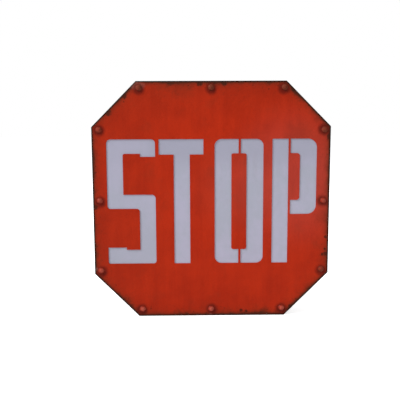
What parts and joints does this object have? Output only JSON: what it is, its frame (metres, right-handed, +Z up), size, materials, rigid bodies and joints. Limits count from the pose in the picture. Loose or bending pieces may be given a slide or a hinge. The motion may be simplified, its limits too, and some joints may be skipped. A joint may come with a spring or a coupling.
{
  "type": "stop sign",
  "caption": "Wall-hung stop sign built as a shallow riveted steel light box, with a stencil face over an opal panel.",
  "frame": {"origin": "middle of the casing's rear rim, in the wall plane", "axes": "+Z up, +X to the right as read from the front, +Y into the wall, so the face looks towards -Y"},
  "size_m": [0.4, 0.0534, 0.4],
  "materials": {
    "red_enamel": "semi-gloss red paint, worn and rusty at the rim",
    "rivet_paint": "red paint worn to brown rust",
    "opal_panel": "glossy opal",
    "casing_paint": "dark aged paint with rust",
    "zinc_steel": "dull zinc",
    "spring_steel": "bare folded sheet",
    "screw_steel": "zinc plated",
    "board_white": "white board",
    "chip_yellow": "clear yellow gel in a white frame",
    "lead_sleeve": "black sleeve",
    "inlet_plastic": "black moulding",
    "nut_brass": "machined"
  },
  "bodies": {
    "root": {"face_plate": "red_enamel", "face_rivets": "rivet_paint", "diffuser": "opal_panel", "casing": "casing_paint", "back_cover": "zinc_steel", "diffuser_clip_1": "spring_steel", "diffuser_clip_2": "spring_steel", "diffuser_clip_3": "spring_steel", "diffuser_clip_4": "spring_steel", "diffuser_clip_5": "spring_steel", "diffuser_clip_6": "spring_steel", "diffuser_clip_7": "spring_steel", "diffuser_clip_8": "spring_steel", "diffuser_clip_9": "spring_steel", "diffuser_clip_10": "spring_steel", "diffuser_clip_11": "spring_steel", "diffuser_clip_12": "spring_steel", "cover_tab_1": "casing_paint", "cover_tab_2": "casing_paint", "cover_tab_3": "casing_paint", "cover_tab_4": "casing_paint", "cover_tab_5": "casing_paint", "cover_tab_6": "casing_paint", "cover_tab_7": "casing_paint", "cover_tab_8": "casing_paint", "cover_screws": "screw_steel", "led_board_1": "board_white", "led_board_2": "board_white", "led_board_3": "board_white", "led_board_4": "board_white", "led_chips_1": "chip_yellow", "led_chips_2": "chip_yellow", "led_chips_3": "chip_yellow", "led_chips_4": "chip_yellow", "supply_lead": "lead_sleeve", "jumper_lead_1": "lead_sleeve", "jumper_lead_2": "lead_sleeve", "jumper_lead_3": "lead_sleeve", "power_inlet": "inlet_plastic", "inlet_nut": "nut_brass"}
  },
  "joints": []
}
